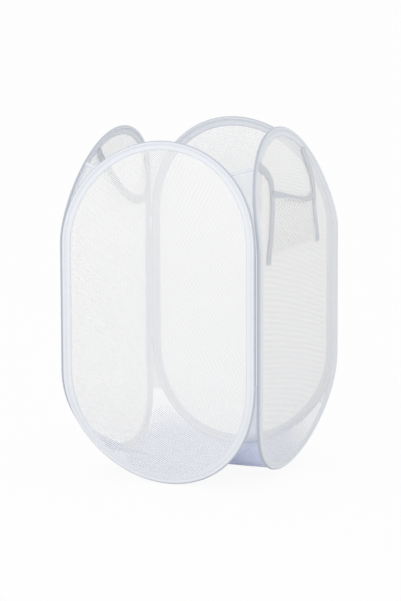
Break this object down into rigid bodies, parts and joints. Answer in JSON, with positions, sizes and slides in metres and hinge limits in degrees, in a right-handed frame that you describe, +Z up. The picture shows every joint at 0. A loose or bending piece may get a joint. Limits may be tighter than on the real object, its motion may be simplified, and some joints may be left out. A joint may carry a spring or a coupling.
{
  "type": "pop up laundry hamper",
  "caption": "Square pop-up laundry hamper with oval spring-wire hoops, see-through mesh panels, corner gussets, a side pocket and a webbing handle; it folds flat.",
  "frame": {"origin": "centre of the footprint, on the ground that the hoops stand on", "axes": "+Z up, the longest side; -Y the front panel's outside; +X the right panel's outside, where the pocket hangs"},
  "size_m": [0.37, 0.37, 0.6],
  "materials": {
    "binding": "woven polyester binding tape, matte, off-white with a slight blue-grey cast",
    "wire": "bright tempered flat spring wire",
    "ferrule": "crimped steel tube",
    "mesh": "open hexagonal polyester net, white, see-through",
    "gusset": "thin plain-woven polyester, translucent white",
    "floor": "plain-woven polyester with a fine check, pale blue-grey",
    "webbing": "ribbed flat webbing, pale grey",
    "tag": "plain smooth ribbon, blank"
  },
  "bodies": {
    "front": {"front_binding": "binding", "front_wire": "wire", "front_ferrule": "ferrule", "front_mesh": "mesh", "front_right_seam": "binding", "front_right_top_gusset": "gusset", "front_right_top_hem": "binding", "front_right_bottom_gusset": "gusset", "left_front_seam": "binding", "left_front_top_gusset": "gusset", "left_front_top_hem": "binding", "left_front_bottom_gusset": "gusset", "floor_panel": "floor"},
    "right": {"right_binding": "binding", "right_wire": "wire", "right_ferrule": "ferrule", "right_mesh": "mesh", "right_back_seam": "binding", "right_back_top_gusset": "gusset", "right_back_top_hem": "binding", "right_back_bottom_gusset": "gusset", "pocket_strap_near": "webbing", "pocket_strap_far": "webbing", "fabric_tag": "tag"},
    "back": {"back_binding": "binding", "back_wire": "wire", "back_ferrule": "ferrule", "back_mesh": "mesh", "back_left_seam": "binding", "back_left_top_gusset": "gusset", "back_left_top_hem": "binding", "back_left_bottom_gusset": "gusset"},
    "left": {"left_binding": "binding", "left_wire": "wire", "left_ferrule": "ferrule", "left_mesh": "mesh", "handle_tab_front": "webbing", "handle_tab_back": "webbing"},
    "handle": {"left_handle": "webbing"},
    "pocket": {"pocket_mouth": "webbing", "pocket_mesh": "mesh"}
  },
  "joints": [
    {"name": "fold_front_right", "type": "hinge", "parent": "front", "child": "right", "pos_m": [0.1783, -0.1783, 0.3], "axis": [0, 0, -1], "range_deg": [0, 88], "stiffness_Nm_per_rad": 0.05, "deforming": ["front_right_top_gusset", "front_right_top_hem", "front_right_bottom_gusset", "floor_panel"]},
    {"name": "fold_front_left", "type": "hinge", "parent": "front", "child": "left", "pos_m": [-0.1783, -0.1783, 0.3], "axis": [0, 0, -1], "range_deg": [0, 88], "deforming": ["left_front_top_gusset", "left_front_top_hem", "left_front_bottom_gusset"]},
    {"name": "fold_right_back", "type": "hinge", "parent": "right", "child": "back", "pos_m": [0.1783, 0.1783, 0.3], "axis": [0, 0, 1], "range_deg": [0, 88], "deforming": ["right_back_top_gusset", "right_back_top_hem", "right_back_bottom_gusset", "back_left_top_gusset", "back_left_top_hem", "back_left_bottom_gusset"]},
    {"name": "handle_flatten", "type": "hinge", "parent": "left", "child": "handle", "pos_m": [-0.1781, 0, 0.553], "axis": [0, 1, 0], "range_deg": [0, 21]},
    {"name": "pocket_open", "type": "hinge", "parent": "right", "child": "pocket", "pos_m": [0.1837, 0, 0.401], "axis": [0, 1, 0], "range_deg": [0, 12], "stiffness_Nm_per_rad": 0.01}
  ],
  "couplings": [
    {"joint": "fold_front_left", "follows": "fold_front_right", "ratio": 1},
    {"joint": "fold_right_back", "follows": "fold_front_right", "ratio": 1},
    {"joint": "handle_flatten", "follows": "fold_front_right", "ratio": 0.23864}
  ]
}
